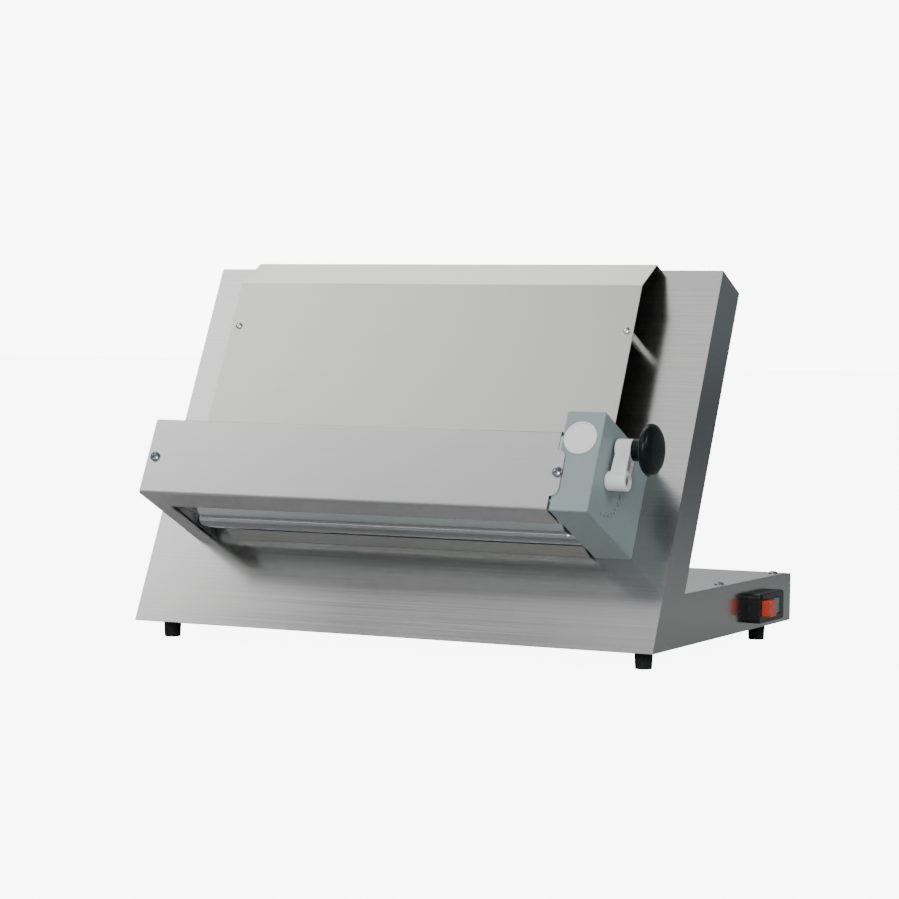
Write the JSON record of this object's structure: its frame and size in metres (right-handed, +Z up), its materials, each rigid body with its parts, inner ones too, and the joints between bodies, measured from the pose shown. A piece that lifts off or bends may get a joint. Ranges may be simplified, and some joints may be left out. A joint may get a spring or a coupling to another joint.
{
  "type": "dough sheeter",
  "caption": "Countertop dough sheeter: leaning stainless body, hollow base, driven roller head with feed plate, gap lever with index knob and side switch.",
  "frame": {"origin": "centre of the whole part's box at floor level, under the feet", "axes": "+Z up, the leaning panel and head face -Y, +X to the side with the switch and lever"},
  "size_m": [0.706, 0.5568, 0.4608],
  "materials": {
    "brushed_stainless": "brushed along the width",
    "satin_stainless": "fine satin",
    "gearbox_plastic": "satin silver-grey",
    "white_plastic": "satin",
    "black_plastic": "gloss",
    "stop_red": "gloss",
    "start_green": "gloss",
    "foot_rubber": "matt",
    "belt_rubber": "matt",
    "polished_steel": "polished",
    "spring_steel": "bright",
    "machined_steel": "machined",
    "bush_bronze": "machined",
    "motor_paint": "satin",
    "grey_plastic": "satin"
  },
  "bodies": {
    "frame": {"back_panel": "brushed_stainless", "back_panel_screws": "polished_steel", "base_cover": "satin_stainless", "base_cover_screws": "polished_steel", "base_pan": "brushed_stainless", "bearing_plate_left": "machined_steel", "bearing_plate_right": "machined_steel", "body_shell": "brushed_stainless", "button_springs": "spring_steel", "cable_gland": "black_plastic", "control_box": "black_plastic", "drive_belt": "belt_rubber", "eccentric_bushes": "bush_bronze", "feed_plate": "satin_stainless", "feed_screws": "polished_steel", "feed_standoffs": "polished_steel", "fixed_idler_axle": "machined_steel", "foot_screws": "polished_steel", "gearbox_housing": "gearbox_plastic", "head_cover": "brushed_stainless", "head_cover_screws": "polished_steel", "inner_leads": "belt_rubber", "jackshaft_blocks": "machined_steel", "left_bracket": "satin_stainless", "motor": "motor_paint", "motor_capacitor": "grey_plastic", "motor_saddles": "machined_steel", "rear_roller_bushes": "bush_bronze", "rear_scraper": "spring_steel", "reducer": "motor_paint", "round_badge": "white_plastic", "rubber_feet": "foot_rubber", "switch_bezel": "black_plastic", "switch_body": "grey_plastic"},
    "rear_roller": {"rear_roller": "polished_steel", "rear_roller_gear": "machined_steel"},
    "carrier": {"carrier_arms": "machined_steel", "carrier_tie_bar": "machined_steel", "front_roller_bushes": "bush_bronze", "front_scraper": "spring_steel", "carried_idler_axle": "machined_steel"},
    "front_roller": {"front_roller": "polished_steel", "front_roller_gear": "machined_steel"},
    "fixed_idler": {"fixed_idler": "machined_steel"},
    "carried_idler": {"carried_idler": "machined_steel"},
    "jackshaft": {"jackshaft": "machined_steel", "jackshaft_gear": "machined_steel", "driven_pulley": "machined_steel"},
    "motor_shaft": {"motor_shaft": "machined_steel", "drive_pulley": "machined_steel"},
    "lever": {"lever": "white_plastic", "lever_screw": "polished_steel", "eccentric_shaft": "machined_steel", "plunger_spring": "spring_steel"},
    "knob": {"index_knob": "black_plastic", "plunger_pin": "polished_steel"},
    "stop_button": {"stop_button": "stop_red"},
    "start_button": {"start_button": "start_green"}
  },
  "joints": [
    {"name": "rear_roller_spin", "type": "hinge", "parent": "frame", "child": "rear_roller", "pos_m": [-0.013, -0.16183, 0.16164], "axis": [1, 0, 0], "continuous": true},
    {"name": "gap_slide", "type": "slide", "parent": "frame", "child": "carrier", "axis": [0, -0.9063, 0.4226], "range_m": [0, 0.0034]},
    {"name": "front_roller_spin", "type": "hinge", "parent": "carrier", "child": "front_roller", "pos_m": [-0.013, -0.21251, 0.176], "axis": [1, 0, 0], "continuous": true},
    {"name": "fixed_idler_spin", "type": "hinge", "parent": "frame", "child": "fixed_idler", "pos_m": [0.259, -0.17215, 0.18874], "axis": [1, 0, 0], "continuous": true},
    {"name": "carried_idler_spin", "type": "hinge", "parent": "carrier", "child": "carried_idler", "pos_m": [0.259, -0.19607, 0.1999], "axis": [1, 0, 0], "continuous": true},
    {"name": "jackshaft_spin", "type": "hinge", "parent": "frame", "child": "jackshaft", "pos_m": [0.259, -0.11416, 0.15028], "axis": [1, 0, 0], "continuous": true},
    {"name": "motor_shaft_spin", "type": "hinge", "parent": "frame", "child": "motor_shaft", "pos_m": [0.259, -0.13584, 0.0605], "axis": [1, 0, 0], "continuous": true},
    {"name": "lever_turn", "type": "hinge", "parent": "frame", "child": "lever", "pos_m": [0.2808, -0.22226, 0.2152], "axis": [-1, 0, 0], "range_deg": [0, 174]},
    {"name": "knob_pull", "type": "slide", "parent": "lever", "child": "knob", "axis": [1, 0, 0], "range_m": [0, 0.006], "stiffness_N_per_m": 400, "springref_m": -0.004},
    {"name": "stop_button_press", "type": "slide", "parent": "frame", "child": "stop_button", "axis": [-1, 0, 0], "range_m": [0, 0.003], "stiffness_N_per_m": 500, "springref_m": -0.002},
    {"name": "start_button_press", "type": "slide", "parent": "frame", "child": "start_button", "axis": [-1, 0, 0], "range_m": [0, 0.003], "stiffness_N_per_m": 500, "springref_m": -0.002}
  ],
  "couplings": [
    {"joint": "front_roller_spin", "follows": "rear_roller_spin", "ratio": -1},
    {"joint": "fixed_idler_spin", "follows": "rear_roller_spin", "ratio": -1.2308},
    {"joint": "carried_idler_spin", "follows": "rear_roller_spin", "ratio": 1.2308},
    {"joint": "jackshaft_spin", "follows": "rear_roller_spin", "ratio": -0.48485},
    {"joint": "motor_shaft_spin", "follows": "rear_roller_spin", "ratio": -0.54079},
    {"joint": "lever_turn", "follows": "gap_slide", "rad_per_m": 893.2}
  ]
}
